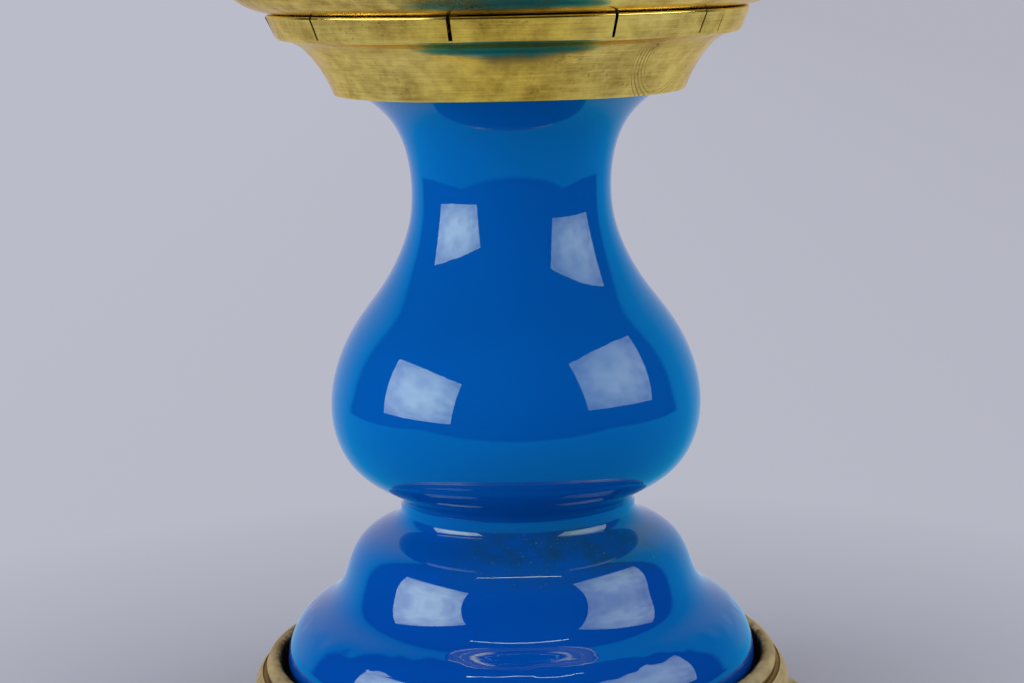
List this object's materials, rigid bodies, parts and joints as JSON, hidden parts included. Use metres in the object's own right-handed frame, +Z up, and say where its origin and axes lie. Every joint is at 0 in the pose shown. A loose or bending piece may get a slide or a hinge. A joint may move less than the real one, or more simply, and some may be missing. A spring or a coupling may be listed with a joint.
{
  "type": "oil table lamp",
  "caption": "Oil table lamp: blown blue opaline glass baluster between a moulded brass foot and a sprung brass collar, with drop-in font, round-wick burner and glass chimney.",
  "frame": {"origin": "centre of the base, on the surface that the lamp stands on", "axes": "+Z up along the lamp's axis; -Y is the side seen from the front; the winding key sticks out towards +X"},
  "size_m": [0.144, 0.144, 0.5203],
  "materials": {
    "aged_brass": "cast, dull with age",
    "polished_brass": "spun and polished",
    "burner_brass": "pressed, satin",
    "blue_opaline": "fire-polished, opaque",
    "clear_glass": "clear",
    "green_felt": "baize",
    "grey_felt": "felt",
    "cast_iron": "as cast",
    "steel": "plain, unplated",
    "cotton": "woven"
  },
  "bodies": {
    "pedestal": {"foot_base": "aged_brass", "felt_pad": "green_felt", "ballast_weight": "cast_iron", "lower_washer": "steel", "lower_nut": "steel", "tie_rod": "steel", "foot_gasket": "grey_felt", "glass_body": "blue_opaline", "rim_gasket": "grey_felt", "font_collar": "polished_brass", "upper_washer": "steel", "upper_nut": "steel"},
    "font": {"font_bowl": "polished_brass", "font_dome": "polished_brass", "burner_ring": "polished_brass"},
    "burner": {"burner_base": "burner_brass", "air_basket": "burner_brass", "wick_tube": "burner_brass", "air_tube": "burner_brass", "spindle_bush": "burner_brass", "gallery": "burner_brass"},
    "wick_key": {"wick_spindle": "steel", "spur_wheels": "burner_brass", "wick_knob": "burner_brass"},
    "wick": {"wick": "cotton"},
    "chimney": {"chimney": "clear_glass"}
  },
  "joints": [
    {"name": "font_lift", "type": "slide", "parent": "pedestal", "child": "font", "axis": [0, 0, 1], "range_m": [0, 0.03]},
    {"name": "burner_lift", "type": "slide", "parent": "font", "child": "burner", "axis": [0, 0, 1], "range_m": [0, 0.065]},
    {"name": "key_turn", "type": "hinge", "parent": "burner", "child": "wick_key", "pos_m": [0, 0.0189, 0.244], "axis": [-1, 0, 0], "range_deg": [-95, 95]},
    {"name": "wick_raise", "type": "slide", "parent": "burner", "child": "wick", "axis": [0, 0, 1], "range_m": [-0.0078, 0.0078]},
    {"name": "chimney_lift", "type": "slide", "parent": "burner", "child": "chimney", "axis": [0, 0, 1], "range_m": [0, 0.035]}
  ],
  "couplings": [
    {"joint": "wick_raise", "follows": "key_turn", "m_per_rad": 0.0047}
  ]
}
